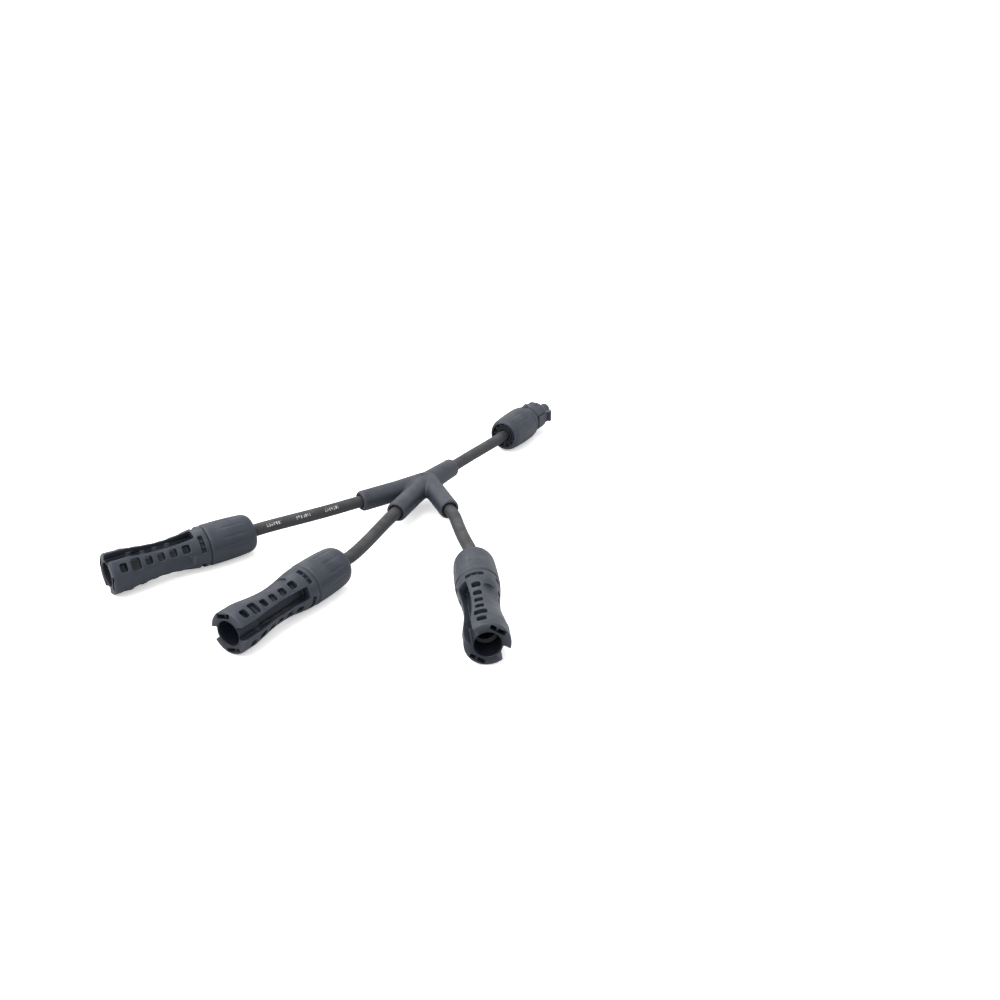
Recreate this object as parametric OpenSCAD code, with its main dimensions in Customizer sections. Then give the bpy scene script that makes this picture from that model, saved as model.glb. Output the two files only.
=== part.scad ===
// Three-to-one branch lead with locking DC couplers.
// Frame: +X runs from the three inlet couplers towards the outlet coupler, +Z is up, and the
// origin is the middle of the couplers and junction on the surface that they lie on. Millimetres.
// A coupler is drawn along its own X axis, from its front face (0) to the back of its gland nut.

/* [Cable] */
// Outside diameter of the cable jacket
cable_d = 6; // [5.8:0.1:6.1]
// Diameter of the stranded copper core
core_d = 2.5; // [2.2:0.1:2.6]

/* [Gland nut] */
// Largest diameter of the gland nut
nut_d = 19.5; // [19.2:0.1:20]
// Length of the gland nut on an inlet coupler
nut_l = 23; // [22.8:0.1:23.4]
// Number of grip flutes round the gland nut
flute_n = 12; // [8:1:14]

/* [Inlet coupler] */
// Length over the body and its gland nut
inlet_l = 67.8; // [67.6:0.1:68.2]
// Diameter of the body at its mouth
inlet_d = 19; // [18.6:0.1:19.2]
// Bore that takes the mating probe
mouth_d = 10.9; // [10.6:0.1:11]
// Depth by which the waist is pulled in
waist_dip = 1.8; // [1.6:0.1:2.2]
// Width of the two open side channels
channel_w = 5.6; // [5:0.1:6]

/* [Outlet coupler] */
// Length over the probe and the gland nut
outlet_l = 52; // [52:0.5:54]
// Diameter of the probe tube
probe_d = 6.7; // [6.5:0.1:6.8]
// Length of the probe tube in front of the collar
probe_l = 12; // [11.8:0.1:12.2]
// Diameter of the collar
collar_d = 16; // [15.6:0.2:16.4]
// Width of a latch arm
latch_w = 6; // [5.4:0.2:6.2]

/* [Junction] */
// Diameter of the moulded arms
arm_d = 10.4; // [10:0.1:10.8]

/* [Hidden] */

// Colours of the finishes
PLASTIC = [0.23, 0.245, 0.275];
DARK_PLASTIC = [0.17, 0.18, 0.2];
RUBBER = [0.08, 0.08, 0.08];
JACKET = [0.2, 0.2, 0.2];
TINNED = [0.75, 0.75, 0.72];
COPPER = [0.72, 0.42, 0.25];

fine = 96;            // facets of a turned surface
gap = 0.1;            // room between pieces that don't move on each other
axis_z = nut_d / 2;   // the nuts lie on the surface, so every axis is at this height

// Couplers: x and y of the front face, heading of the axis from front to back, roll
couplers = [
    [-134.3, 85.5, -22.5, 103],
    [-144.4, 6.3, -1.9, -15],
    [-100, -86.7, 36, 33],
    [144.7, 17.5, 180.5, 0]
];
OUTLET = 3;

// Junction: where the four arms meet, then each arm's heading and length
hub = [17.7, 19];
arms = [[156.5, 40], [190, 38.8], [231, 36], [358.5, 22.5]];
jacket_start = 13.5;   // from the hub to the end of each jacket inside the moulding
core_start = 7;        // from the hub to the end of each core in the splice
splice_r = 4;
splice_h = 5;
splice_arm_r = 2;
splice_reach = 11;
arm_step = 0.06;       // each arm is this much thinner than the one before, so none meet edge to edge
arm_lip = 1.4;         // depth of the ring left open round the cable at an arm's end

// Free run of each cable between its arm and its coupler, as x and y
way_1 = [[-34.9, 41.9], [-43.9, 46.3], [-52.9, 50.9]];
way_2 = [[-37.4, 9.1], [-47.4, 7], [-57.4, 5.1]];
way_3 = [[-16.9, -21.2], [-25.6, -29.2]];
way_4 = [[59.6, 17.9], [71.6, 17.4]];
ways = [way_1, way_2, way_3, way_4];
straight_run = 9;      // straight cable behind each nut, so that the nut can be backed off by 6

// Stations along an inlet coupler, from its front face
wide_bore_end = 10;
narrow_bore_end = 24;
web_end = 37.6;
seal_seat = 39.6;
seal_end = 48.2;
spigot_end = 57;
waist_start = 8;
waist_end = 42;
nut_gap = 0.5;         // between the collar and the nut
narrow_bore_r = 3.7;
web_hole_r = core_d / 2 + 1.35;
seal_bore_r = 5.6;
spigot_r = 6.9;
thread_crest_r = 7.4;
thread_pitch = 2;
core_tube_r = 6.5;     // outside of the tube that the channels leave standing, at the mouth
inner_tube_r = 5.2;    // and further in
mouth_r = mouth_d / 2;
body_r = inlet_d / 2;
nut_r = nut_d / 2;
nut_front = inlet_l - nut_l;
nut_recess_r = 7;
tool_reach = 200;      // longer than any piece, for cutting tools

// Four rows of pockets on an inlet body, each pocket as station, length and width
pockets = [[5.4, 3, 3.6], [11, 4, 5], [17, 3, 3.2], [22.6, 3, 3], [28.2, 3, 3], [34, 3.2, 3.2]];
pocket_floor_r = 6.2;
row_angle = 45;        // from the top and bottom of the body to each row
scoop_r = 30;          // radius of the thumb scoops between the rows
scoop_station = 28;
scoop_depth = 2.4;        // below the mouth's diameter, so deeper than the waist

// The outlet's rear half is an inlet's, moved forward by this much
outlet_shift = inlet_l - outlet_l;
probe_r = probe_d / 2;
probe_lip_r = 4.4;     // beside the groove of the probe seal
probe_groove_r = 3.8;
o_ring_r = 0.7;
collar_r = collar_d / 2;
collar_front = probe_l;
collar_back = nut_front - outlet_shift - nut_gap;
flange_front = collar_front + 11.6;
fin_front = collar_front + 12.4;
fin_top_r = 9.9;
latch_tip = collar_front - 4.6;
latch_root = collar_front + 10.4;
latch_in = 6.3;        // inner face of a latch arm, from the axis
latch_t = 1.5;
latch_hook = 1.4;

function heading(a) = [cos(a), sin(a)];
function arm_point(k, d) = hub + d * heading(arms[k][0]);
function coupler_point(k, s) = [couplers[k][0], couplers[k][1]] + s * heading(couplers[k][2]);
function coupler_length(k) = k == OUTLET ? outlet_l : inlet_l;
function jacket_end(k) = seal_seat - 1 - (k == OUTLET ? outlet_shift : 0);
function core_end(k) = 31.5 - (k == OUTLET ? outlet_shift : 0);

// Route of a cable: from d_in inside the junction to station s_out inside its coupler
function route(k, d_in, s_out) = concat(
    [arm_point(k, d_in), arm_point(k, arms[k][1]), arm_point(k, arms[k][1] + 7)],
    ways[k],
    [for (s = [coupler_length(k) + straight_run, coupler_length(k), s_out]) coupler_point(k, s)]);

function unit(v) = v / norm(v);
function tangent(p, i) = unit(p[min(i + 1, len(p) - 1)] - p[max(i - 1, 0)]);
function ring_points(p, i, r, sides) = let (t = tangent(p, i)) [
    for (k = [0 : sides - 1]) let (a = 360 * (k + 0.5) / sides)
        [p[i][0] - r * cos(a) * t[1], p[i][1] + r * cos(a) * t[0], axis_z + r * sin(a)]];

function wall_faces(n, sides) = [
    for (i = [0 : n - 2]) for (k = [0 : sides - 1]) let (j = (k + 1) % sides)
        [i * sides + k, i * sides + j, (i + 1) * sides + j, (i + 1) * sides + k]];

// A round bar swept along the route p
module swept_bar(p, r, sides) {
    n = len(p);
    points = [for (i = [0 : n - 1]) each ring_points(p, i, r, sides)];
    walls = wall_faces(n, sides);
    first = [for (k = [sides - 1 : -1 : 0]) k];
    last = [for (k = [0 : sides - 1]) (n - 1) * sides + k];
    polyhedron(points, concat(walls, [first, last]));
}

// A tube swept along the route p, open at both ends
module swept_tube(p, r_out, r_in, sides) {
    n = len(p);
    m = n * sides;
    points = concat(
        [for (i = [0 : n - 1]) each ring_points(p, i, r_out, sides)],
        [for (i = [0 : n - 1]) each ring_points(p, i, r_in, sides)]);
    outer = wall_faces(n, sides);
    inner = [for (f = outer) [m + f[3], m + f[2], m + f[1], m + f[0]]];
    first = [for (k = [0 : sides - 1]) [k, m + k, m + (k + 1) % sides, (k + 1) % sides]];
    last = [for (k = [0 : sides - 1]) let (a = (n - 1) * sides + k, b = (n - 1) * sides + (k + 1) % sides)
        [a, b, m + b, m + a]];
    polyhedron(points, concat(outer, inner, first, last));
}

// Turned about X: each point is [radius, station]
module turned(points) rotate([0, 90, 0]) rotate_extrude($fn = fine) polygon(points);
module bar_x(r, s0, s1) translate([s0, 0, 0]) rotate([0, 90, 0]) cylinder(r = r, h = s1 - s0, $fn = fine);
module at_coupler(k) translate([couplers[k][0], couplers[k][1], axis_z])
    rotate([0, 0, couplers[k][2]]) rotate([couplers[k][3], 0, 0]) children();
module at_arm(k) translate([hub[0], hub[1], axis_z]) rotate([0, 0, arms[k][0]]) children();

// Junction
module splice_shape(grow) {
    translate([hub[0], hub[1], axis_z - splice_h / 2 - grow])
        cylinder(r = splice_r + grow, h = splice_h + 2 * grow, $fn = fine);
    for (k = [0 : 3]) at_arm(k) bar_x(splice_arm_r + grow, 1, splice_reach + grow);
}

module junction_overmould() color(PLASTIC) difference() {
    union() {
        translate([hub[0], hub[1], axis_z]) rotate_extrude($fn = fine)
            polygon([[0, -4.6], [3, -4.6], [5, -3.2], [5, 3.2], [3, 4.6], [0, 4.6]]);
        for (k = [0 : 3]) at_arm(k) let (arm_r = arm_d / 2 - arm_step * k)
            turned([
                [0, 2], [arm_r, 2], [arm_r, arms[k][1] - 0.8], [arm_r - 0.8, arms[k][1]], [0, arms[k][1]]]);
        translate([0, 0, axis_z - 3]) linear_extrude(6) polygon([
            arm_point(0, 15), hub, arm_point(2, 15), arm_point(1, 17)]);
    }
    splice_shape(gap);
    for (k = [0 : 3]) at_arm(k) {
        bar_x(core_d / 2 + gap, splice_reach, jacket_start);
        bar_x(cable_d / 2 + gap, jacket_start - gap, tool_reach);
        bar_x(cable_d / 2 + 0.8, arms[k][1] - arm_lip, tool_reach);
    }
}

module crimp_splice() color(COPPER) difference() {
    splice_shape(0);
    for (k = [0 : 3]) at_arm(k) bar_x(core_d / 2 + gap, core_start - gap, splice_reach + 1);
}

// Cables
module cable_jacket(k) color(JACKET)
    swept_tube(route(k, jacket_start, jacket_end(k)), cable_d / 2, core_d / 2 + 0.25, 12);
module copper_core(k) color(COPPER)
    swept_bar(route(k, core_start, core_end(k)), core_d / 2, 8);

// Parts that both kinds of coupler share, at an inlet's stations
module thread_rings(r, s0, count) for (i = [0 : count - 1]) translate([s0 + i * thread_pitch, 0, 0])
    turned([[0, 0], [r, 0.5], [r, 0.9], [0, 1.4]]);

module rear_bores() {
    bar_x(web_hole_r, narrow_bore_end - 1, seal_seat);
    bar_x(cable_d / 2 + 0.3, web_end, seal_seat + 1);
    bar_x(seal_bore_r, seal_seat, tool_reach);
}

module spigot() {
    bar_x(spigot_r, seal_seat, spigot_end);
    intersection() {
        thread_rings(thread_crest_r, nut_front + 1.5, 5);
        bar_x(thread_crest_r, seal_seat, spigot_end);
    }
}

module cable_seal(k) color(RUBBER) at_rear(k) difference() {
    turned([
        [cable_d / 2 + gap, seal_seat + gap], [5.1, seal_seat + gap], [5.5, 41.2], [5.1, 42.6], [5.5, 44],
        [5.1, 45.4], [5.5, 46.8], [5.1, seal_end], [cable_d / 2 + gap, seal_end]]);
}

module clamp_cage(k) color(DARK_PLASTIC) at_rear(k) difference() {
    turned([
        [3.5, seal_end + 0.4], [5.2, seal_end + 0.4], [5.2, 57.6], [6.5, 57.6], [6.5, 59],
        [5.1, 63.2], [3.5, 63.2]]);
    for (a = [0 : 60 : 300]) rotate([a, 0, 0])
        translate([52, -0.6, 0]) cube([tool_reach, 1.2, tool_reach]);
}

module gland_nut(k) color(PLASTIC) at_rear(k) difference() {
    turned([
        [7.7, nut_front], [nut_r - 0.7, nut_front], [nut_r, nut_front + 0.9], [nut_r, 54],
        [nut_r - 0.2, 60], [nut_r - 0.55, inlet_l - 3.2], [nut_r - 1, inlet_l - 1.6],
        [nut_r - 1.6, inlet_l - 0.6], [nut_r - 2.25, inlet_l],
        [nut_recess_r, inlet_l], [nut_recess_r, 65.8], [4.7, 65.8], [4.4, 66.8], [3.5, 66.8],
        [3.5, 64.4], [5.5, 63.6], [7, 59], [8.1, 59], [8.1, 57.3],
        for (s = [56 : -thread_pitch : 48]) each [[7.7, s], [8.1, s - 0.7], [8.1, s - 1.3], [7.7, s - 2]]]);
    for (i = [0 : flute_n - 1]) rotate([(i + 0.5) * 360 / flute_n, 0, 0])
        translate([51.5, 0, nut_r + 1.6]) rotate([0, 92.2, 0]) cylinder(r = 1.6, h = 20, $fn = 24);
    // pockets round the floor of the rear recess
    for (a = [15 : 30 : 345]) rotate([a, 0, 0])
        translate([64.4, -0.9, 5.7]) cube([4, 1.8, nut_recess_r - 5.8]);
}
module at_rear(k) at_coupler(k) translate([k == OUTLET ? -outlet_shift : 0, 0, 0]) children();

// Inlet couplers
function waist_r(s) = let (t = (s - waist_start) / (waist_end - waist_start))
    body_r - waist_dip * pow(sin(180 * t), 1.2);

module inlet_shell() turned(concat(
    [[0, 0], [body_r - 0.6, 0], [body_r, 0.6]],
    [for (i = [0 : 12]) let (s = waist_start + i * (waist_end - waist_start) / 12) [waist_r(s), s]],
    [[body_r, nut_front - nut_gap - 0.6], [body_r - 0.5, nut_front - nut_gap], [0, nut_front - nut_gap]]));

// One curved slot: from s0 to s1, between radii r0 and r1, as wide as the angle given
module arc_slot(s0, s1, r0, r1, angle) translate([s0, 0, 0]) rotate([0, 90, 0])
    rotate([0, 0, 180 - angle / 2]) rotate_extrude(angle = angle, $fn = fine)
        translate([r0, 0]) square([r1 - r0, s1 - s0]);

module inlet_body(k) color(PLASTIC) at_coupler(k) difference() {
    union() {
        inlet_shell();
        spigot();
    }
    bar_x(mouth_r, -1, wide_bore_end);
    bar_x(narrow_bore_r, wide_bore_end - 1, narrow_bore_end);
    rear_bores();
    for (side = [0, 180]) rotate([side, 0, 0]) {
        for (row = [-row_angle, row_angle]) rotate([row, 0, 0]) {
            for (p = pockets) translate([p[0] - p[1] / 2, -p[2] / 2, pocket_floor_r]) cube([p[1], p[2], 5]);
            arc_slot(40.6, 42.2, 7.6, 12, 50);
        }
        arc_slot(-1, 5, 6.9, 8.6, 52);
        translate([scoop_station, -5, body_r + scoop_r - scoop_depth]) rotate([-90, 0, 0])
            cylinder(r = scoop_r, h = 10, $fn = fine);
        // side channel, with the tube left standing at its foot
        difference() {
            translate([-1, core_tube_r - 2, -channel_w / 2]) cube([40, 10, channel_w]);
            turned([
                [0, -2], [core_tube_r, -2], [core_tube_r, wide_bore_end + 1],
                [inner_tube_r, wide_bore_end + 3], [inner_tube_r, 50], [0, 50]]);
        }
    }
}

module contact_pin(k) color(TINNED) at_coupler(k) difference() {
    turned([
        [0, 11], [1.2, 11.3], [2, 13], [2, narrow_bore_end - 2.2], [3.2, narrow_bore_end - 0.4],
        [3.2, narrow_bore_end - 0.1], [2.45, narrow_bore_end - 0.1],
        [2.45, web_end - 0.5], [0, web_end - 0.5]]);
    bar_x(core_d / 2 + gap, core_end(k) - gap, web_end);
}

// Outlet coupler
module outlet_body() color(PLASTIC) at_coupler(OUTLET) difference() {
    union() {
        turned([
            [0, 0], [probe_r - 0.8, 0], [probe_r, 0.8], [probe_r, collar_front - 2.4],
            [probe_lip_r, collar_front - 2.4], [probe_lip_r, collar_front],
            [collar_r - 1.2, collar_front], [collar_r - 0.3, collar_front + 0.5],
            [collar_r, collar_front + 1.4], [collar_r, flange_front - 1], [collar_r - 0.7, flange_front - 1],
            [collar_r - 0.7, flange_front], [collar_r + 0.3, flange_front], [body_r, collar_back - 0.9],
            [body_r - 0.3, collar_back], [0, collar_back]]);
        translate([-outlet_shift, 0, 0]) spigot();
        // locking fin, steep towards the front
        translate([0, 0.9, 0]) rotate([90, 0, 0]) linear_extrude(1.8)
            polygon([
                [fin_front, 6.5], [fin_front, fin_top_r], [fin_front + 0.5, fin_top_r],
                [collar_back - 0.6, 9.2], [collar_back - 0.6, 6.5]]);
        // stop block in front of the fin
        translate([collar_front + 1.8, -2.4, 0]) cube([2.2, 4.8, 8.3]);
    }
    bar_x(2.55, -1, collar_front + 5);
    translate([-outlet_shift, 0, 0]) {
        bar_x(web_hole_r, narrow_bore_end, seal_seat);
        rear_bores();
    }
    // groove of the probe seal
    turned([
        [probe_groove_r, collar_front - 2], [6, collar_front - 2],
        [6, collar_front - 0.4], [probe_groove_r, collar_front - 0.4]]);
    // slots for the latch arms
    for (side = [0, 180]) rotate([side, 0, 0])
        translate([collar_front - 1, latch_in - 2, -latch_w / 2 - 0.4])
            cube([latch_root - collar_front + 1.4, 8, latch_w + 0.8]);
    // pockets round the collar
    for (a = [35, 80, 125, -35, -80, -125]) rotate([a, 0, 0])
        translate([flange_front + 1, -1.5, 7.2]) cube([2.6, 3, 5]);
}

module contact_socket() color(TINNED) at_coupler(OUTLET) difference() {
    turned([
        [0, 1.6], [2.3, 1.6], [2.45, 2],
        [2.45, web_end - 0.5 - outlet_shift], [0, web_end - 0.5 - outlet_shift]]);
    bar_x(2.02, 0, 13);
    bar_x(core_d / 2 + gap, core_end(OUTLET) - gap, web_end);
}

module probe_o_ring() color(RUBBER) at_coupler(OUTLET) translate([collar_front - 1.2, 0, 0])
    rotate([0, 90, 0]) rotate_extrude($fn = fine)
        translate([probe_groove_r + o_ring_r + gap / 2, 0]) circle(r = o_ring_r, $fn = 32);

module latch_arm(side) color(PLASTIC) at_coupler(OUTLET) scale([1, side, 1]) {
    translate([0, 0, -latch_w / 2]) linear_extrude(latch_w) polygon([
        [latch_tip, latch_in + 0.2], [latch_tip, latch_in + latch_t], [latch_tip + 1, latch_in + latch_t],
        [latch_tip + 2.2, latch_in + latch_t + latch_hook],
        [latch_tip + 4.2, latch_in + latch_t + latch_hook],
        [latch_tip + 4.2, latch_in + latch_t], [latch_root, latch_in + latch_t], [latch_root, latch_in]]);
}

junction_overmould();
crimp_splice();
cable_jacket(0);  // cable_jacket_1
cable_jacket(1);  // cable_jacket_2
cable_jacket(2);  // cable_jacket_3
cable_jacket(3);  // cable_jacket_4
copper_core(0);  // copper_core_1
copper_core(1);  // copper_core_2
copper_core(2);  // copper_core_3
copper_core(3);  // copper_core_4
inlet_body(0);  // inlet_body_1
inlet_body(1);  // inlet_body_2
inlet_body(2);  // inlet_body_3
contact_pin(0);  // contact_pin_1
contact_pin(1);  // contact_pin_2
contact_pin(2);  // contact_pin_3
cable_seal(0);  // cable_seal_1
cable_seal(1);  // cable_seal_2
cable_seal(2);  // cable_seal_3
cable_seal(3);  // cable_seal_4
clamp_cage(0);  // clamp_cage_1
clamp_cage(1);  // clamp_cage_2
clamp_cage(2);  // clamp_cage_3
clamp_cage(3);  // clamp_cage_4
gland_nut(0);  // gland_nut_1
gland_nut(1);  // gland_nut_2
gland_nut(2);  // gland_nut_3
gland_nut(3);  // gland_nut_4
outlet_body();
contact_socket();
probe_o_ring();
latch_arm(1);  // latch_arm_left
latch_arm(-1);  // latch_arm_right
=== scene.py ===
import bpy, math
from mathutils import Matrix, Vector


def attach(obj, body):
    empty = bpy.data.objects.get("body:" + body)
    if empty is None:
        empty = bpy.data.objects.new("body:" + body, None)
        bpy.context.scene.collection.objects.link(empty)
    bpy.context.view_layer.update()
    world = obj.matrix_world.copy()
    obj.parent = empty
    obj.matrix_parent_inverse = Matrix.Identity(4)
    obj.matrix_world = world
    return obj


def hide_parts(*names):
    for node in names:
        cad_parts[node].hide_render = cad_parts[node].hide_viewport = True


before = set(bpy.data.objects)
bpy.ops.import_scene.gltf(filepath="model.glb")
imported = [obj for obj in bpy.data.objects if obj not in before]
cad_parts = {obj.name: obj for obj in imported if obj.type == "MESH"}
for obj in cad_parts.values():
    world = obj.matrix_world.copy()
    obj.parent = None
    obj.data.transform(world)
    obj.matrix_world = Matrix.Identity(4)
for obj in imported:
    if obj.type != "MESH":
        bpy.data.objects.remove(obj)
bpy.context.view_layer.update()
mm = 0.001
scene = bpy.context.scene

# where things lie on the table, in mm: front face x, y, heading of the axis, roll (degrees)
layout = {
    "axisHeight": 9.75,
    "inlets": [(-134.3, 85.5, -22.5, 103), (-144.4, 6.3, -1.9, -15), (-100, -86.7, 36, 33)],
    "outlet": (144.7, 17.5, 180.5, 0),
    "inletLength": 67.8,
    "outletLength": 52,
    "hub": (17.7, 19),
    "arms": [(156.5, 40), (190, 38.8), (231, 36), (358.5, 22.5)],      # heading, length
}
# the outlet's rear half is an inlet's, moved this much towards the front
layout["shift"] = layout["inletLength"] - layout["outletLength"]


# ---- camera, floor, light
view = {"place": (-412.2, -272.4, 242), "heading": 30, "tilt": 25.09, "lens": 39.6}
skyStrength = 1.1
lamps = {       # place, spread in degrees, strength
    "softbox": ((-0.3, 0.6, 1.3), 80, 2.9),
    "fill": ((-0.9, -0.3, 0.8), 60, 0.6),
}
# in metres, wide enough that its edge is out of sight; the glow keeps shadows faint
ground = {"size": 90, "middle": (0.4, 0.3, 0), "glow": 0.4}


def deselect():
    if bpy.context.object and bpy.context.object.mode != "OBJECT":
        bpy.ops.object.mode_set(mode="OBJECT")
    bpy.ops.object.select_all(action="DESELECT")


def pick(obj):
    deselect()
    obj.select_set(True)
    bpy.context.view_layer.objects.active = obj


def setStudio():
    deselect()
    bpy.ops.object.camera_add(
        location=[v * mm for v in view["place"]],
        rotation=(math.radians(90 - view["tilt"]), 0, math.radians(view["heading"] - 90)))
    cam = bpy.context.object
    cam.data.lens = view["lens"]
    cam.data.sensor_width = 36
    cam.data.clip_start = 0.01
    scene.camera = cam
    deselect()
    bpy.ops.mesh.primitive_plane_add(size=ground["size"], location=ground["middle"])
    floor = bpy.context.object
    floor.name = "floor"
    bpy.ops.object.transform_apply(location=True, rotation=True, scale=True)
    floor.data.materials.append(paleFloor())
    for name, (place, spread, power) in lamps.items():
        deselect()
        bpy.ops.object.light_add(type="SUN", location=place)
        lamp = bpy.context.object
        lamp.name = name
        lamp.data.angle = math.radians(spread)
        lamp.data.energy = power
        lamp.rotation_euler = (-Vector(place)).to_track_quat("-Z", "Y").to_euler()
    world = bpy.data.worlds.new("studioAir")
    world.use_nodes = True
    back = world.node_tree.nodes["Background"]
    back.inputs["Color"].default_value = (1, 1, 1, 1)
    back.inputs["Strength"].default_value = skyStrength
    scene.world = world
    scene.view_settings.view_transform = "Standard"
    scene.view_settings.look = "None"


# ---- shader groups
def newGroup(name, inputs, outputs):
    group = bpy.data.node_groups.new(name, "ShaderNodeTree")
    for label, value in inputs:
        socket = group.interface.new_socket(label, in_out="INPUT", socket_type="NodeSocketFloat")
        socket.default_value = value
    for label, kind in outputs:
        group.interface.new_socket(label, in_out="OUTPUT", socket_type=kind)
    return group, group.nodes.new("NodeGroupInput"), group.nodes.new("NodeGroupOutput")


def node(tree, kind, links=(), **values):
    # in_3=0.5 sets input 3, and links holds pairs of an input's number and its source
    n = tree.nodes.new(kind)
    for key, value in values.items():
        if key.startswith("in_"):
            n.inputs[int(key[3:])].default_value = value
        else:
            setattr(n, key, value)
    for index, source in links:
        tree.links.new(source, n.inputs[index])
    return n


def sparkGrain():
    # fine erosion texture of a moulding tool: a coarse and a fine noise together
    g, gin, gout = newGroup(
        "sparkGrain", [("Size", 0.25), ("Unevenness", 0.3)], [("Height", "NodeSocketFloat")])
    where = node(g, "ShaderNodeTexCoord").outputs["Object"]
    perMetre = node(g, "ShaderNodeMath", [(1, gin.outputs["Size"])], operation="DIVIDE", in_0=1000.0)
    fine = node(g, "ShaderNodeTexNoise", [(0, where), (2, perMetre.outputs[0])], in_3=2.0, in_4=0.6)
    broad = node(g, "ShaderNodeTexNoise", [(0, where)], in_2=260.0, in_3=3.0, in_4=0.5)
    part = node(g, "ShaderNodeMath", [(0, broad.outputs[0]), (1, gin.outputs["Unevenness"])],
                operation="MULTIPLY")
    total = node(g, "ShaderNodeMath", [(0, fine.outputs[0]), (1, part.outputs[0])], operation="ADD")
    g.links.new(total.outputs[0], gout.inputs[0])
    return g


def edgeLightAndShade():
    # a painted highlight: a paler line along the outer edges, in patches; and painted shade: a darker
    # one down in the corners
    g, gin, gout = newGroup(
        "edgeLightAndShade", [("Reach", 0.06)], [("Highlight", "NodeSocketFloat"), ("CornerShade", "NodeSocketFloat")])
    point = node(g, "ShaderNodeNewGeometry").outputs["Pointiness"]
    where = node(g, "ShaderNodeTexCoord").outputs["Object"]
    patch = node(g, "ShaderNodeTexNoise", [(0, where)], in_2=420.0, in_3=3.0, in_4=0.6)
    low = node(g, "ShaderNodeMath", [(1, gin.outputs["Reach"])], operation="ADD", in_0=0.515).outputs[0]
    # painted highlight where the outer edges would catch the light
    edge = node(g, "ShaderNodeMapRange", [(0, point), (2, low)], in_1=0.505)
    edgeGlint = node(g, "ShaderNodeMath", [(0, edge.outputs[0]), (1, patch.outputs[0])],
                operation="MULTIPLY")
    # painted shade in the concave corners and creases
    creaseShade = node(g, "ShaderNodeMapRange", [(0, point)], in_1=0.495, in_2=0.42)
    g.links.new(edgeGlint.outputs[0], gout.inputs[0])
    g.links.new(creaseShade.outputs[0], gout.inputs[1])
    return g


def softDust():
    # thin dust that settles on what faces up
    g, gin, gout = newGroup("softDust", [("Amount", 0.5)], [("Dust", "NodeSocketFloat")])
    face = node(g, "ShaderNodeSeparateXYZ", [(0, node(g, "ShaderNodeNewGeometry").outputs["Normal"])])
    up = node(g, "ShaderNodeMapRange", [(0, face.outputs[2])], in_1=0.35, in_2=1.0)
    where = node(g, "ShaderNodeTexCoord").outputs["Object"]
    cloud = node(g, "ShaderNodeTexNoise", [(0, where)], in_2=150.0, in_3=5.0, in_4=0.65)
    patch = node(g, "ShaderNodeMapRange", [(0, cloud.outputs[0])], in_1=0.42, in_2=0.72)
    both = node(g, "ShaderNodeMath", [(0, up.outputs[0]), (1, patch.outputs[0])], operation="MULTIPLY")
    out = node(g, "ShaderNodeMath", [(0, both.outputs[0]), (1, gin.outputs["Amount"])],
               operation="MULTIPLY")
    g.links.new(out.outputs[0], gout.inputs[0])
    return g


def useGroup(tree, group, **values):
    n = tree.nodes.new("ShaderNodeGroup")
    n.node_tree = group
    for key, value in values.items():
        n.inputs[key].default_value = value
    return n


groups = {"grain": sparkGrain(), "edge": edgeLightAndShade(), "dust": softDust()}


def newMaterial(name, **sockets):
    mat = bpy.data.materials.new(name)
    mat.use_nodes = True
    shader = mat.node_tree.nodes["Principled BSDF"]
    for key, value in sockets.items():
        shader.inputs[key.replace("_", " ")].default_value = value
    return mat, mat.node_tree, shader


def mixColour(tree, factor, a, b):
    m = tree.nodes.new("ShaderNodeMix")
    m.data_type = "RGBA"
    for socket, value in ((m.inputs[0], factor), (m.inputs[6], a), (m.inputs[7], b)):
        if hasattr(value, "is_linked"):
            tree.links.new(value, socket)
        else:
            socket.default_value = value
    return m.outputs[2]


def bumped(tree, shader, height, distance, strength, normal=None):
    b = node(tree, "ShaderNodeBump", [(2, height)] if not normal else [(2, height), (3, normal)])
    b.inputs["Strength"].default_value = strength
    b.inputs["Distance"].default_value = distance
    tree.links.new(b.outputs[0], shader.inputs["Normal"])
    return b.outputs[0]


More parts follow.
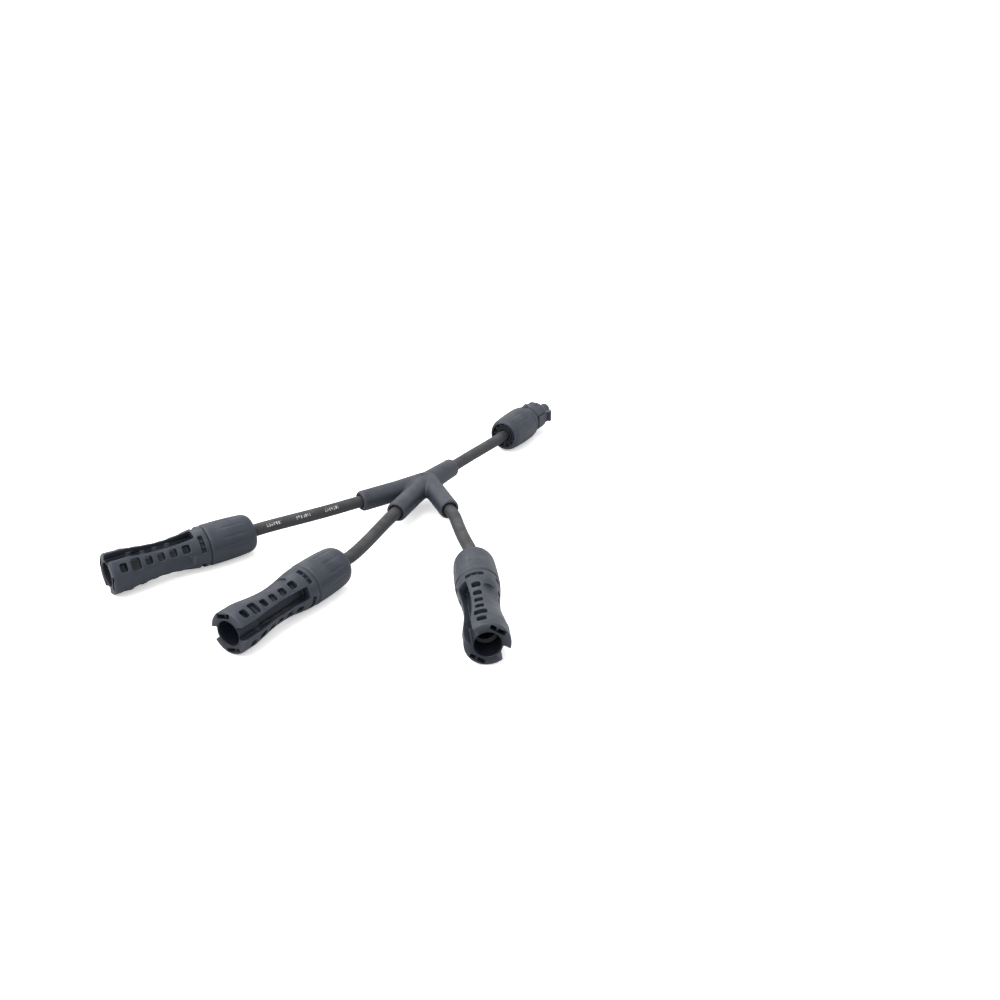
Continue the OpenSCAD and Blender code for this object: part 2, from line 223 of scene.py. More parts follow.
def mouldedPlastic(name, colour, highlightColour, shadeColour, rough, grain, seamHeight=None):
    mat, t, shader = newMaterial(name, Specular_IOR_Level=0.32)
    edge = useGroup(t, groups["edge"])
    dust = useGroup(t, groups["dust"], Amount=0.1)
    where = node(t, "ShaderNodeTexCoord").outputs["Object"]
    flow = node(t, "ShaderNodeTexNoise", [(0, where)], in_2=70.0, in_3=4.0, in_4=0.55, in_8=0.6)
    c = mixColour(t, flow.outputs[0], [v * 0.86 for v in colour] + [1], [v * 1.14 for v in colour] + [1])
    # painted highlight on the outer edges, then painted shade in the corners
    c = mixColour(t, edge.outputs["Highlight"], c, (*highlightColour, 1))
    c = mixColour(t, edge.outputs["CornerShade"], c, (*shadeColour, 1))
    c = mixColour(t, dust.outputs["Dust"], c, (0.28, 0.28, 0.28, 1))
    # painted shade, darker the deeper a point lies in a pocket, bore or slot
    recess = t.nodes.new("ShaderNodeAttribute")
    recess.attribute_name = "recess"
    c = mixColour(t, recess.outputs["Fac"], c, (*shadeColour, 1))
    t.links.new(c, shader.inputs["Base Color"])
    fine = useGroup(t, groups["grain"], Size=grain)
    r = node(t, "ShaderNodeMapRange", [(0, flow.outputs[0])],
             in_1=0.3, in_2=0.7, in_3=rough - 0.05, in_4=rough + 0.06)
    t.links.new(r.outputs[0], shader.inputs["Roughness"])
    n = bumped(t, shader, fine.outputs[0], 0.00003, 0.35)
    if seamHeight is not None:
        # the parting line, a thin raised seam at the height where the two mould halves met
        z = node(t, "ShaderNodeSeparateXYZ", [(0, where)]).outputs[2]
        off = node(t, "ShaderNodeMath", [(0, z)], operation="SUBTRACT", in_1=seamHeight * mm)
        away = node(t, "ShaderNodeMath", [(0, off.outputs[0])], operation="ABSOLUTE")
        ridge = node(t, "ShaderNodeMapRange", [(0, away.outputs[0])],
                     in_1=0.00004, in_2=0.00016, in_3=1.0, in_4=0.0)
        bumped(t, shader, ridge.outputs[0], 0.00006, 0.8, n)
    return mat


# specks on the first leg, in mm but for the heading: pitch of the groups and of what is in them,
# height above the ground, height of the band, and the y past which they show
marks = {"heading": 155, "group": 15, "stroke": 1.15, "height": 11.5, "tall": 1.2, "past": 36.5}


def jacketRubber():
    mat, t, shader = newMaterial("cableJacket", Specular_IOR_Level=0.26)
    where = node(t, "ShaderNodeTexCoord").outputs["Object"]
    haze = node(t, "ShaderNodeTexNoise", [(0, where)], in_2=110.0, in_3=4.0, in_4=0.6)
    c = mixColour(t, haze.outputs[0], (0.0245, 0.0255, 0.0285, 1), (0.035, 0.036, 0.039, 1))
    # fine pale specks in short groups down one side of the first leg, where a cable is usually marked
    along = node(t, "ShaderNodeMapping", [(0, where)], vector_type="POINT")
    along.inputs["Rotation"].default_value = (0, 0, math.radians(-marks["heading"]))
    lengthwise = node(t, "ShaderNodeSeparateXYZ", [(0, along.outputs[0])])
    level = node(t, "ShaderNodeSeparateXYZ", [(0, where)])
    normal = node(t, "ShaderNodeNewGeometry").outputs["Normal"]
    facing = node(t, "ShaderNodeSeparateXYZ", [(0, normal)])
    specks = node(t, "ShaderNodeTexNoise", [(0, along.outputs[0])], in_2=1500.0, in_3=1.0)

    def above(source, limit, way="GREATER_THAN"):
        return node(t, "ShaderNodeMath", [(0, source)], operation=way, in_1=limit).outputs[0]

    def wave(pitch, limit):
        turn = node(t, "ShaderNodeMath", [(0, lengthwise.outputs[0])],
                    operation="MULTIPLY", in_1=2 * math.pi / (pitch * mm))
        swing = node(t, "ShaderNodeMath", [(0, turn.outputs[0])], operation="SINE")
        return above(swing.outputs[0], limit)

    height = node(t, "ShaderNodeMath", [(0, level.outputs[2])],
                  operation="SUBTRACT", in_1=marks["height"] * mm)
    band = node(t, "ShaderNodeMath", [(0, height.outputs[0])], operation="ABSOLUTE").outputs[0]
    mask = above(specks.outputs[0], 0.47)
    for other in (wave(marks["group"], 0.1),
                  wave(marks["stroke"], -0.35),
                  above(band, marks["tall"] / 2 * mm, "LESS_THAN"),
                  above(facing.outputs[1], -0.2, "LESS_THAN"),
                  above(level.outputs[1], marks["past"] * mm)):
        mask = node(t, "ShaderNodeMath", [(0, mask), (1, other)], operation="MULTIPLY").outputs[0]
    c = mixColour(t, mask, c, (0.42, 0.42, 0.43, 1))
    dust = useGroup(t, groups["dust"], Amount=0.16)
    c = mixColour(t, dust.outputs["Dust"], c, (0.25, 0.25, 0.25, 1))
    t.links.new(c, shader.inputs["Base Color"])
    r = node(t, "ShaderNodeMapRange", [(0, haze.outputs[0])], in_1=0.3, in_2=0.7, in_3=0.5, in_4=0.62)
    t.links.new(r.outputs[0], shader.inputs["Roughness"])
    fine = useGroup(t, groups["grain"], Size=0.4, Unevenness=0.8)
    bumped(t, shader, fine.outputs[0], 0.00004, 0.3)
    return mat


def sealRubber():
    mat, t, shader = newMaterial("sealRubber", Specular_IOR_Level=0.35)
    where = node(t, "ShaderNodeTexCoord").outputs["Object"]
    bloom = node(t, "ShaderNodeTexNoise", [(0, where)], in_2=300.0, in_3=3.0)
    c = mixColour(t, bloom.outputs[0], (0.012, 0.012, 0.012, 1), (0.03, 0.03, 0.03, 1))
    t.links.new(c, shader.inputs["Base Color"])
    r = node(t, "ShaderNodeMapRange", [(0, bloom.outputs[0])], in_3=0.55, in_4=0.8)
    t.links.new(r.outputs[0], shader.inputs["Roughness"])
    return mat


def plated(name, bright, dull, rough, streak):
    mat, t, shader = newMaterial(name, Metallic=1.0)
    where = node(t, "ShaderNodeTexCoord").outputs["Object"]
    tarnish = node(t, "ShaderNodeTexNoise", [(0, where)], in_2=180.0, in_3=5.0, in_4=0.65)
    c = mixColour(t, tarnish.outputs[0], (*bright, 1), (*dull, 1))
    t.links.new(c, shader.inputs["Base Color"])
    lathe = node(t, "ShaderNodeTexNoise", [(0, where)], in_2=streak, in_3=2.0)
    r = node(t, "ShaderNodeMapRange", [(0, lathe.outputs[0])], in_3=rough, in_4=rough + 0.2)
    t.links.new(r.outputs[0], shader.inputs["Roughness"])
    bumped(t, shader, lathe.outputs[0], 0.00001, 0.3)
    return mat


def paleFloor():
    mat, t, shader = newMaterial("paleFloor", Roughness=0.95, Specular_IOR_Level=0.0)
    seen = t.nodes.new("ShaderNodeLightPath").outputs["Is Camera Ray"]
    c = mixColour(t, seen, (0.6, 0.6, 0.61, 1), (0.96, 0.96, 0.96, 1))
    t.links.new(c, shader.inputs["Base Color"])
    shader.inputs["Emission Color"].default_value = (1, 1, 1, 1)
    lift = node(t, "ShaderNodeMath", [(0, seen)], operation="MULTIPLY", in_1=ground["glow"])
    t.links.new(lift.outputs[0], shader.inputs["Emission Strength"])
    return mat


# each plastic's paler colour is its painted edge highlight, its darkest one the painted shade for
# corners and recesses
finishes = {
    "coupler": mouldedPlastic("couplerPlastic", (0.0235, 0.0285, 0.0405), highlightColour=(0.06, 0.066, 0.084),
                              shadeColour=(0.007, 0.009, 0.015), rough=0.44, grain=0.22),
    "junction": mouldedPlastic("junctionPlastic", (0.0255, 0.03, 0.0405), highlightColour=(0.055, 0.06, 0.074),
                               shadeColour=(0.014, 0.016, 0.024), rough=0.44, grain=0.3,
                               seamHeight=layout["axisHeight"]),
    "cage": mouldedPlastic("cagePlastic", (0.011, 0.012, 0.016), highlightColour=(0.04, 0.04, 0.05),
                           shadeColour=(0.006, 0.006, 0.009), rough=0.5, grain=0.2),
    "jacket": jacketRubber(),
    "seal": sealRubber(),
    "tin": plated("tinPlate", (0.72, 0.71, 0.68), (0.5, 0.49, 0.46), 0.25, 900.0),
    "copper": plated("tinnedCopper", (0.75, 0.5, 0.36), (0.6, 0.34, 0.22), 0.3, 1400.0),
}
print("materials ready")


def paint(obj, finish):
    if obj.data.materials:
        for i in range(len(obj.data.materials)):
            obj.data.materials[i] = finishes[finish]
    else:
        obj.data.materials.append(finishes[finish])


setStudio()
print("studio ready")


# ---- cables
# in mm: where it starts inside its arm, how far it runs straight out of the arm and behind the
# nut, and the seal that ends it
cable = {"width": 6, "inside": 13.5, "leave": 7, "straight": 9, "sealAt": 38.6}
linePieces = 4      # straight pieces between two points of a route
# points that each leg passes on its way
ways = [
    [(-34.9, 41.9), (-43.9, 46.3), (-52.9, 50.9)],
    [(-37.4, 9.1), (-47.4, 7), (-57.4, 5.1)],
    [(-16.9, -21.2), (-25.6, -29.2)],
    [(59.6, 17.9), (71.6, 17.4)],
]


def alongHeading(x, y, heading, distance):
    a = math.radians(heading)
    return (x + distance * math.cos(a), y + distance * math.sin(a))


def cableRoute(leg):
    hub, (heading, reach) = layout["hub"], layout["arms"][leg]
    x, y, turn, roll = (layout["inlets"] + [layout["outlet"]])[leg]
    long = layout["outletLength"] if leg == 3 else layout["inletLength"]
    shift = layout["shift"] if leg == 3 else 0
    points = [alongHeading(*hub, heading, d) for d in (cable["inside"], reach, reach + cable["leave"])]
    points += ways[leg]
    points += [alongHeading(x, y, turn, d)
               for d in (long + cable["straight"], long, cable["sealAt"] - shift)]
    return [Vector((px * mm, py * mm, layout["axisHeight"] * mm)) for px, py in points]


def smoothLine(points, steps):
    # a Catmull-Rom line through the route's own points
    line = []
    for i in range(len(points) - 1):
        p0, p1, p2 = points[max(i - 1, 0)], points[i], points[i + 1]
        p3 = points[min(i + 2, len(points) - 1)]
        for k in range(steps):
            t = k / steps
            line.append(0.5 * ((2 * p1) + (p2 - p0) * t + (2 * p0 - 5 * p1 + 4 * p2 - p3) * t * t
                               + (3 * p1 - p0 - 3 * p2 + p3) * t ** 3))
    return line + [points[-1]]


def makeCable(leg):
    points = smoothLine(cableRoute(leg), linePieces)
    curve = bpy.data.curves.new(f"cableLeg{leg + 1}", "CURVE")
    curve.dimensions = "3D"
    curve.bevel_depth = cable["width"] / 2 * mm
    curve.bevel_resolution = 7
    curve.use_fill_caps = True
    spline = curve.splines.new("POLY")
    spline.points.add(len(points) - 1)
    for p, q in zip(spline.points, points):
        p.co = (*q, 1)
    spline.use_smooth = True
    obj = bpy.data.objects.new(f"cableLeg{leg + 1}", curve)
    scene.collection.objects.link(obj)
    curve.materials.append(finishes["jacket"])
    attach(obj, "harness")
    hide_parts(f"cable_jacket_{leg + 1}")


for leg in range(4):
    makeCable(leg)
print("cables laid")


# ---- tools for shaping, all along X, sizes in mm
beyond = 14     # a cutter's far side, outside every coupler
same = 0.000001     # metres, closer points are one


def turnBy(obj, axis, degrees):
    obj.rotation_euler["XYZ".index(axis)] = math.radians(degrees)
    pick(obj)
    bpy.ops.object.transform_apply(location=True, rotation=True, scale=True)


def cleanFaces():
    bpy.ops.mesh.select_all(action="SELECT")
    bpy.ops.mesh.remove_doubles(threshold=same)
    bpy.ops.mesh.normals_make_consistent(inside=False)
    bpy.ops.object.mode_set(mode="OBJECT")


def pushCorners(obj, chosen, offset):
    # moves the corners that chosen picks by their place
    pick(obj)
    bpy.ops.object.mode_set(mode="EDIT")
    bpy.ops.mesh.select_all(action="DESELECT")
    bpy.ops.object.mode_set(mode="OBJECT")
    for v in obj.data.vertices:
        v.select = chosen(v.co)
    bpy.ops.object.mode_set(mode="EDIT")
    bpy.ops.transform.translate(value=[d * mm for d in offset])
    bpy.ops.object.mode_set(mode="OBJECT")


def turned(name, stations, sides=96):
    # a round solid: the first disc is pulled along X and its radius changed at each station
    x, r = stations[0]
    deselect()
    bpy.ops.mesh.primitive_circle_add(vertices=sides, radius=r * mm, fill_type="NGON",
                                      location=(x * mm, 0, 0), rotation=(0, math.pi / 2, 0))
    obj = bpy.context.object
    obj.name = name
    bpy.ops.object.transform_apply(location=True, rotation=True, scale=True)
    bpy.ops.object.mode_set(mode="EDIT")
    bpy.ops.mesh.select_all(action="SELECT")
    for nextX, nextR in stations[1:]:
        bpy.ops.mesh.extrude_region_move(TRANSFORM_OT_translate={"value": ((nextX - x) * mm, 0, 0)})
        if nextR != r:
            bpy.ops.transform.resize(value=(1, nextR / r, nextR / r), center_override=(nextX * mm, 0, 0))
        x, r = nextX, nextR
    cleanFaces()
    return obj


def block(name, low, high, roll=0, bevel=0):
    # a box between two corners, then rolled about X
    size = [(b - a) * mm for a, b in zip(low, high)]
    middle = [(a + b) / 2 * mm for a, b in zip(low, high)]
    deselect()
    bpy.ops.mesh.primitive_cube_add(size=1, location=middle)
    obj = bpy.context.object
    obj.name = name
    obj.scale = size
    bpy.ops.object.transform_apply(location=True, rotation=True, scale=True)
    if bevel:
        bpy.ops.object.mode_set(mode="EDIT")
        bpy.ops.mesh.select_all(action="SELECT")
        bpy.ops.mesh.bevel(offset=bevel * mm, segments=2)
        bpy.ops.object.mode_set(mode="OBJECT")
    if roll:
        turnBy(obj, "X", roll)
    return obj


def merge(body, tool, operation="DIFFERENCE"):
    pick(body)
    m = body.modifiers.new("cut", "BOOLEAN")
    m.operation = operation
    m.solver = "MANIFOLD"
    m.object = tool
    bpy.ops.object.modifier_apply(modifier=m.name)
    bpy.data.objects.remove(tool)


def cutAll(body, cutters):
    for c in cutters:
        merge(body, c)


def soften(obj, voxel, rounds, keep=1.0):
    # evens the mesh out and rounds its edges, as a moulded edge is
    pick(obj)
    m = obj.modifiers.new("even", "REMESH")
    m.mode = "VOXEL"
    m.voxel_size = voxel * mm
    bpy.ops.object.modifier_apply(modifier=m.name)
    m = obj.modifiers.new("round", "SMOOTH")
    m.factor = 0.5
    m.iterations = rounds
    bpy.ops.object.modifier_apply(modifier=m.name)
    if keep < 1:
        m = obj.modifiers.new("thin", "DECIMATE")
        m.ratio = keep
        bpy.ops.object.modifier_apply(modifier=m.name)
    bpy.ops.object.shade_smooth()


def paintRecessShade(obj, surface, start, deep):
    # painted shade: notes how far each point lies under the piece's outer surface, for the material to
    # darken
    # as shade: nothing down to start, and all of it deep further in
    level = obj.data.attributes.new("recess", "FLOAT", "POINT")
    for v, value in zip(obj.data.vertices, level.data):
        x, r = v.co.x / mm, math.hypot(v.co.y, v.co.z) / mm
        value.value = min(max((surface(x) - r - start) / deep, 0), 1)


def copyOf(obj, name):
    new = obj.copy()
    new.data = obj.data.copy()
    new.name = name
    scene.collection.objects.link(new)
    return new


def placeAt(obj, coupler, shift=0):
    # moves a piece drawn along X to its coupler, and bakes the place into the mesh
    x, y, heading, roll = coupler
    obj.matrix_world = (Matrix.Translation((x * mm, y * mm, layout["axisHeight"] * mm))
                        @ Matrix.Rotation(math.radians(heading), 4, "Z")
                        @ Matrix.Rotation(math.radians(roll), 4, "X")
                        @ Matrix.Translation((shift * mm, 0, 0)))
    pick(obj)
    bpy.ops.object.transform_apply(location=True, rotation=True, scale=True)


def standFor(obj, finish, body, slot, *nodes):
    paint(obj, finish)
    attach(obj, body)
    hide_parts(*nodes)


# ---- inlet coupler body
inlet = {
    "width": 19, "mouth": 10.9, "dip": 1.8, "waist": (8, 42), "collar": 44.65,
    "spigot": 57, "spigotWidth": 13.8, "row": 45,
    # each pocket: station, length, width, radius of its floor
    "pockets": [(5.4, 3.2, 4, 6.2), (11, 4.3, 5.4, 6.2), (17, 3.3, 3.7, 5.3),
                (22.6, 3.3, 3.6, 5.3), (28.2, 3.3, 3.6, 5.3), (34, 3.5, 3.8, 5.6)],
    "collarSlot": (40.3, 42.4), "slotFloor": 8.3, "biteFloor": 7.4,
    "rimSlot": (6.5, 8.4),
    "channel": 5.6, "channelEnd": 39, "channelFloor": 4.5, "tube": (6.1, 5.0),
    "scoop": (28, 30, 2.4),     # station, radius, depth
    "dish": (6.4, 4.2, 1.1),    # half sizes of the thumb dish
}
thread = {"first": 46.3, "turns": 5, "crest": 7.4, "root": 6.8, "pitch": 2.0}


def waistRadius(x):
    a, b = inlet["waist"]
    t = (x - a) / (b - a)
    return inlet["width"] / 2 - inlet["dip"] * max(math.sin(math.pi * t), 0) ** 1.2


def sector(name, x0, x1, r0, r1, middle, angle, steps):
    # a curved slot: a small plate spun about X
    deselect()
    bpy.ops.mesh.primitive_plane_add(size=1, location=((x0 + x1) / 2 * mm, 0, (r0 + r1) / 2 * mm),
                                     rotation=(math.pi / 2, 0, 0))
    obj = bpy.context.object
    obj.name = name
    obj.scale = ((x1 - x0) * mm, (r1 - r0) * mm, 1)
    bpy.ops.object.transform_apply(location=True, rotation=True, scale=True)
    turnBy(obj, "X", middle - angle / 2)
    bpy.ops.object.mode_set(mode="EDIT")
    bpy.ops.mesh.select_all(action="SELECT")
    bpy.ops.mesh.spin(steps=steps, angle=math.radians(angle), center=(0, 0, 0), axis=(-1, 0, 0))
    cleanFaces()
    return obj


def threads(first):
    crest, root, pitch = thread["crest"], thread["root"], thread["pitch"]
    stations = [(first - 0.6, root)]
    for i in range(thread["turns"]):
        x = first + i * pitch
        stations += [(x, root), (x + 0.5, crest), (x + 0.9, crest), (x + 1.4, root)]
    stations.append((first + thread["turns"] * pitch, root))
    return turned("screw", stations, 72)


def makeInletBody():
    half, neck = inlet["width"] / 2, inlet["spigotWidth"] / 2
    waistStart, waistEnd = inlet["waist"]
    profile = [(0, half - 0.9), (0.25, half - 0.3), (0.8, half)]
    profile += [(x, waistRadius(x)) for x in range(waistStart, waistEnd + 1, 2)]
    profile += [(inlet["collar"] - 0.5, half), (inlet["collar"], half - 0.4)]
    body = turned("inletBody", profile)
    merge(body, turned("spigot", [(39, neck), (inlet["spigot"] - 0.5, neck), (inlet["spigot"], 6.5)]),
          "UNION")
    merge(body, threads(thread["first"]), "UNION")
    m = inlet["mouth"] / 2
    # mouth, pin chamber, cable bore
    merge(body, turned("mouthBore", [
        (-1, m + 0.35), (0, m + 0.35), (0.35, m), (10, m), (10.4, 3.9), (11, 3.7),
        (24, 3.7), (24, 2.6), (39.6, 2.6), (39.6, 5.6), (60, 5.6)]))
    cuts = []
    for side in (0, 180):
        for row in (-inlet["row"], inlet["row"]):
            turn = side + row
            for x, l, w, floor in inlet["pockets"]:
                cuts.append(block("pocket", (x - l / 2, -w / 2, floor), (x + l / 2, w / 2, beyond),
                                  turn, 0.75))
            # the slot at the collar: shallow all along, with two low ribs left between its deep bites
            slot = inlet["collarSlot"]
            cuts.append(sector("collarSlot", *slot, inlet["slotFloor"], 12, turn, 52, 16))
            for a in (-17.5, 0, 17.5):
                cuts.append(sector("collarBite", *slot, inlet["biteFloor"], 12, turn + a, 14, 5))
        # the rim's slot, with one low rib
        low, high = inlet["rimSlot"]
        cuts.append(block("rimSlot", (-2, -3.6, low), (1.3, 3.6, high), side, 0.5))
        for y in (-2.05, 2.05):
            cuts.append(block("rimBite", (-1, y - 1.55, low), (5, y + 1.55, high), side))
        station, radius, depth = inlet["scoop"]
        deselect()
        bpy.ops.mesh.primitive_cylinder_add(
            vertices=160, radius=radius * mm, depth=10 * mm, rotation=(math.pi / 2, 0, 0),
            location=(station * mm, 0, (half + radius - depth) * mm))
        scoop = bpy.context.object
        bpy.ops.object.transform_apply(location=True, rotation=True, scale=True)
        turnBy(scoop, "X", side)
        cuts.append(scoop)
        deselect()
        bpy.ops.mesh.primitive_uv_sphere_add(segments=48, ring_count=24, radius=1 * mm)
        dish = bpy.context.object
        dish.scale = inlet["dish"]
        dish.location = ((station + 1.5) * mm, 0, (half - depth + 0.4) * mm)
        bpy.ops.object.transform_apply(location=True, rotation=True, scale=True)
        turnBy(dish, "X", side)
        cuts.append(dish)
        w = inlet["channel"] / 2
        channel = block("channel", (-1, -w, inlet["channelFloor"]), (inlet["channelEnd"], w, beyond),
                        side + 90)
        wide, narrow = inlet["tube"]
        merge(channel, turned("tube", [(-2, wide), (11, wide), (13, narrow), (50, narrow)]))
        cuts.append(channel)
    cutAll(body, cuts)
    soften(body, 0.24, 3, 0.42)
    paintRecessShade(body, waistRadius, 1.5, 1.2)
    return body


firstInlet = makeInletBody()
print("inlet body shaped:", len(firstInlet.data.polygons), "faces")
for i, coupler in enumerate(layout["inlets"]):
    piece = firstInlet if i == 2 else copyOf(firstInlet, "inletBody")
    piece.name = f"inletShell{i + 1}"
    placeAt(piece, coupler)
    standFor(piece, "coupler", "harness", "moulded_plastic", f"inlet_body_{i + 1}")


# ---- gland nuts
nut = {
    "width": 19.5, "front": 44.8, "recess": 7, "floor": 65.8,
    "flutes": 12, "fluteAt": 51.3, "fluteWidth": 3.2, "fluteDepth": 0.12, "fluteTilt": 2.0,
    "pockets": 12, "pocketWidth": 1.8, "pocketIn": 5.7, "pocketFront": 64.4,
}


def makeNut():
    r, end = nut["width"] / 2, layout["inletLength"]
    body = turned("glandNut", [
        (nut["front"], r - 0.7), (nut["front"] + 0.9, r), (50, r), (54, r), (60, r - 0.2),
        (end - 3.2, r - 0.55), (end - 1.6, r - 1), (end - 0.6, r - 1.6), (end - 0.15, r - 2.05),
        (end, r - 2.25)])
    merge(body, turned("nutBore", [
        (nut["front"] - 1, 8.1), (nut["front"], 8.1), (nut["front"] + 0.4, 7.75), (57.3, 7.75),
        (57.3, 8.1), (59, 8.1), (59, 7), (63.6, 5.5), (64.4, 3.5), (66.8, 3.5), (66.8, 4.4),
        (nut["floor"], 4.7), (nut["floor"], nut["recess"]), (end + 1, nut["recess"])]))
    cuts = []
    for i in range(nut["flutes"]):
        turn = (i + 0.5) * 360 / nut["flutes"]
        w = nut["fluteWidth"] / 2
        flute = turned("flute", [(0, w - 0.8), (0.4, w - 0.3), (1, w), (22, w)], 32)
        out = r + w - nut["fluteDepth"]
        flute.matrix_world = (Matrix.Rotation(math.radians(turn), 4, "X")
                              @ Matrix.Translation((nut["fluteAt"] * mm, 0, out * mm))
                              @ Matrix.Rotation(math.radians(nut["fluteTilt"]), 4, "Y"))
        pick(flute)
        bpy.ops.object.transform_apply(location=True, rotation=True, scale=True)
        cuts.append(flute)
    cutAll(body, cuts)
    # pockets round the floor of the rear recess
    step, w = 360 // nut["pockets"], nut["pocketWidth"] / 2
    cutAll(body, [block("rimPocket", (nut["pocketFront"], -w, nut["pocketIn"]),
                        (69, w, nut["recess"] - 0.1), a) for a in range(step // 2, 360, step)])
    soften(body, 0.24, 3, 0.4)
    paintRecessShade(body, lambda x: nut["width"] / 2 - 0.9, 0.6, 3)
    return body


firstNut = makeNut()
print("gland nut shaped:", len(firstNut.data.polygons), "faces")
for i, coupler in enumerate(layout["inlets"] + [layout["outlet"]]):
    piece = firstNut if i == 3 else copyOf(firstNut, "glandNut")
    piece.name = f"glandNut{i + 1}"
    placeAt(piece, coupler, -layout["shift"] if i == 3 else 0)
    standFor(piece, "coupler", f"nut_{i + 1}", "moulded_plastic", f"gland_nut_{i + 1}")


# ---- outlet coupler body
outlet = {
    "probe": 6.7, "collarAt": 12, "collar": 16, "latchWidth": 6, "latchIn": 6.3,
    "finTop": 10.6, "pocketTurns": (35, 80, 125, -35, -80, -125), "pocketFloor": 7.2,
}


def makeOutletBody():
    p, c, f = outlet["probe"] / 2, outlet["collar"] / 2, outlet["collarAt"]
    shift = layout["shift"]
    back = inlet["collar"] - shift      # its collar meets the nut as an inlet's does
    body = turned("outletBody", [
        (0, p - 0.9), (0.3, p - 0.35), (0.9, p), (f - 2.4, p), (f - 2.4, 4.4), (f, 4.4),
        (f, c - 1.2), (f + 0.5, c - 0.3), (f + 1.4, c), (f + 10.6, c), (f + 10.6, c - 0.7),
        (f + 11.6, c - 0.7), (f + 11.6, c - 0.2), (back - 2.4, c), (back - 1.8, 9.3),
        (back - 0.3, 9.4), (back, 9.2)])
    merge(body, turned("spigot", [(39.6 - shift, 6.9), (56.5 - shift, 6.9), (57 - shift, 6.5)]), "UNION")
    merge(body, threads(thread["first"] - shift), "UNION")
    # locking fin, steep in front and sloping back
    fin = block("fin", (f + 12.4, -0.9, 6.5), (back - 0.3, 0.9, outlet["finTop"]))
    pushCorners(fin, lambda at: at.x > (f + 14) * mm and at.z > 8 * mm, (0, 0, -0.7))
    merge(body, fin, "UNION")
    merge(body, block("stop", (f + 1.8, -2.4, 0), (f + 4, 2.4, 8.3)), "UNION")
    merge(body, turned("wireBore", [(-1, 2.55), (17, 2.55), (17, 2.6), (39.6 - shift, 2.6),
                                    (39.6 - shift, 5.6), (60 - shift, 5.6)]))
    groove = turned("groove", [(f - 2, 6), (f - 0.4, 6)])
    merge(groove, turned("core", [(f - 3, 3.8), (f + 1, 3.8)]))
    merge(body, groove)
    cuts = []
    for side in (90, -90):
        w = outlet["latchWidth"] / 2 + 0.4
        cuts.append(block("latchSlot", (f - 1, -w, outlet["latchIn"] - 2), (f + 10.8, w, beyond), side))
    for a in outlet["pocketTurns"]:
        cuts.append(block("pocket", (f + 12.6, -1.5, outlet["pocketFloor"]), (f + 15.2, 1.5, beyond),
                          a, 0.5))
    cutAll(body, cuts)
    soften(body, 0.22, 3, 0.5)
    paintRecessShade(body, lambda x: outlet["probe"] / 2 if x < f else c, 0.6, 1.5)
    return body


outletShell = makeOutletBody()
outletShell.name = "outletShell"
placeAt(outletShell, layout["outlet"])
standFor(outletShell, "coupler", "harness", "moulded_plastic", "outlet_body")
print("outlet body shaped:", len(outletShell.data.polygons), "faces")


# ---- latch arms
latch = {"tip": 7.4, "root": 22.4, "thick": 1.5, "hook": 1.4}


def makeLatch(side):
    inner, tip, root = outlet["latchIn"], latch["tip"], latch["root"]
    w = outlet["latchWidth"] / 2
    arm = block("latchArm", (tip, inner, -w), (root, inner + latch["thick"], w))
    hook = block("hook", (tip + 1, inner + 0.6, -w),
                 (tip + 4.2, inner + latch["thick"] + latch["hook"], w))
    # its front slopes, to ride over the mating part
    pushCorners(hook, lambda at: at.x < (tip + 2) * mm and at.y > (inner + 2) * mm, (1.2, 0, 0))
    merge(arm, hook, "UNION")
    soften(arm, 0.18, 3)
    if side < 0:
        arm.scale = (1, -1, 1)
        pick(arm)
        bpy.ops.object.transform_apply(location=True, rotation=True, scale=True)
        bpy.ops.object.mode_set(mode="EDIT")
        bpy.ops.mesh.select_all(action="SELECT")
        bpy.ops.mesh.normals_make_consistent(inside=False)
        bpy.ops.object.mode_set(mode="OBJECT")
    return arm


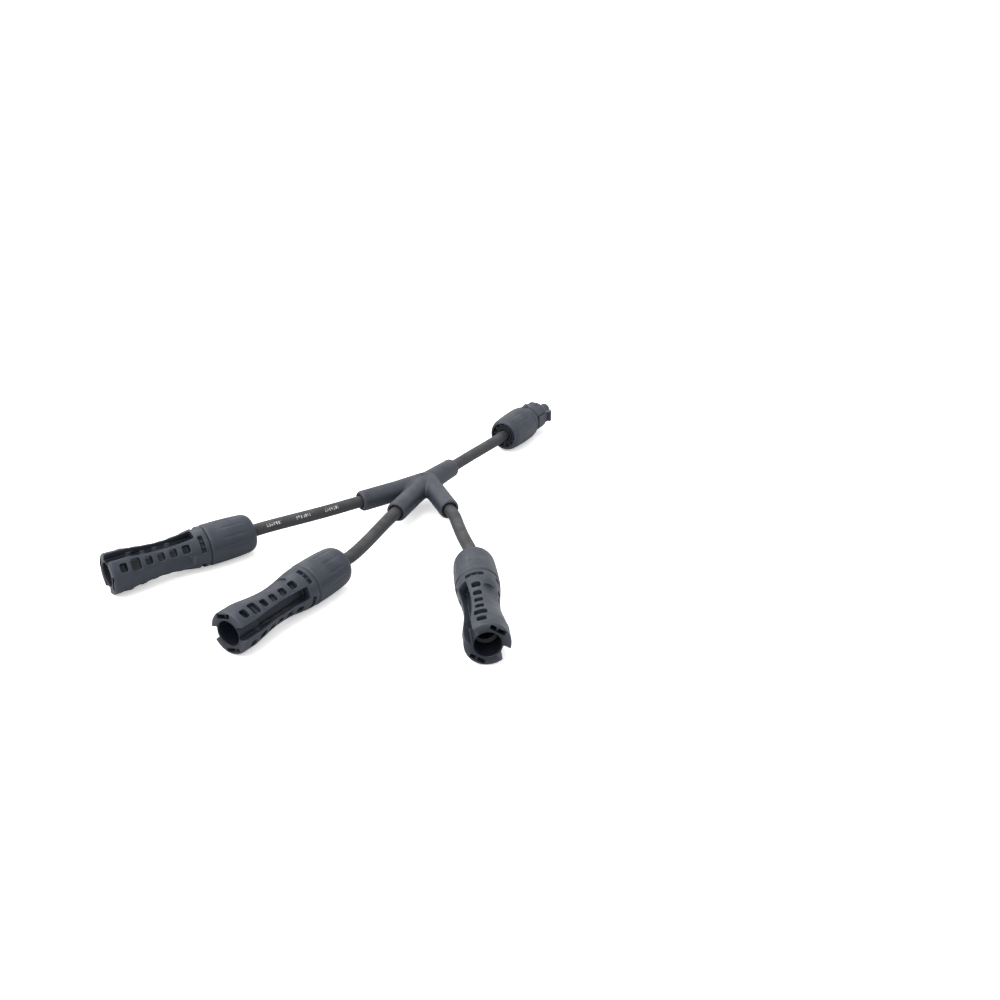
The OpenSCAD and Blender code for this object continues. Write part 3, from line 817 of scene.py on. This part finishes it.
for side, name in ((1, "left"), (-1, "right")):
    arm = makeLatch(side)
    arm.name = f"latchArm_{name}"
    placeAt(arm, layout["outlet"])
    standFor(arm, "coupler", f"latch_{name}", "moulded_plastic", f"latch_arm_{name}")
print("latch arms shaped")


# ---- junction
junction = {
    "arm": 10.4, "step": 0.06, "lip": 1.4, "lipGap": 0.8, "ball": 5.4,
    "gate": 1.3, "gateAt": (-3.4, 0.4, 6.2),
}


def makeJunction():
    parts = []
    for i, (heading, reach) in enumerate(layout["arms"]):
        r = junction["arm"] / 2 - junction["step"] * i
        arm = turned("arm", [(1, r + 0.5), (10, r + 0.25), (18, r), (reach - 0.8, r), (reach, r - 0.8)])
        turnBy(arm, "Z", heading)
        parts.append(arm)
    body = parts[0]
    for p in parts[1:]:
        merge(body, p, "UNION")
    deselect()
    bpy.ops.mesh.primitive_uv_sphere_add(segments=64, ring_count=32, radius=junction["ball"] * mm)
    merge(body, bpy.context.object, "UNION")
    soften(body, 0.42, 16)
    tight = cable["width"] / 2 + 0.1
    loose = cable["width"] / 2 + junction["lipGap"]
    for heading, reach in layout["arms"]:
        lip = reach - junction["lip"]
        bore = turned("bore", [(13.4, tight), (lip, tight), (lip, loose), (reach + 5, loose)])
        turnBy(bore, "Z", heading)
        merge(body, bore)
    # the small gate mark in the crotch of the first two arms
    deselect()
    bpy.ops.mesh.primitive_uv_sphere_add(segments=24, ring_count=12, radius=junction["gate"] * mm,
                                         location=[v * mm for v in junction["gateAt"]])
    merge(body, bpy.context.object)
    soften(body, 0.3, 2, 0.4)
    return body


junctionShell = makeJunction()
junctionShell.name = "junctionShell"
placeAt(junctionShell, (*layout["hub"], 0, 0))
standFor(junctionShell, "junction", "harness", "moulded_plastic", "junction_overmould")
print("junction shaped:", len(junctionShell.data.polygons), "faces")

# ---- finishes of the CAD pieces, by how their names start; the rest are couplers
cadFinishes = {
    "contact": "tin", "copper": "copper", "crimp": "copper", "cable_seal": "seal", "probe": "seal",
    "clamp": "cage", "cable_jacket": "jacket", "junction": "junction",
}
for name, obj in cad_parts.items():
    paint(obj, next((cadFinishes[start] for start in cadFinishes if name.startswith(start)), "coupler"))
print("finishes set")
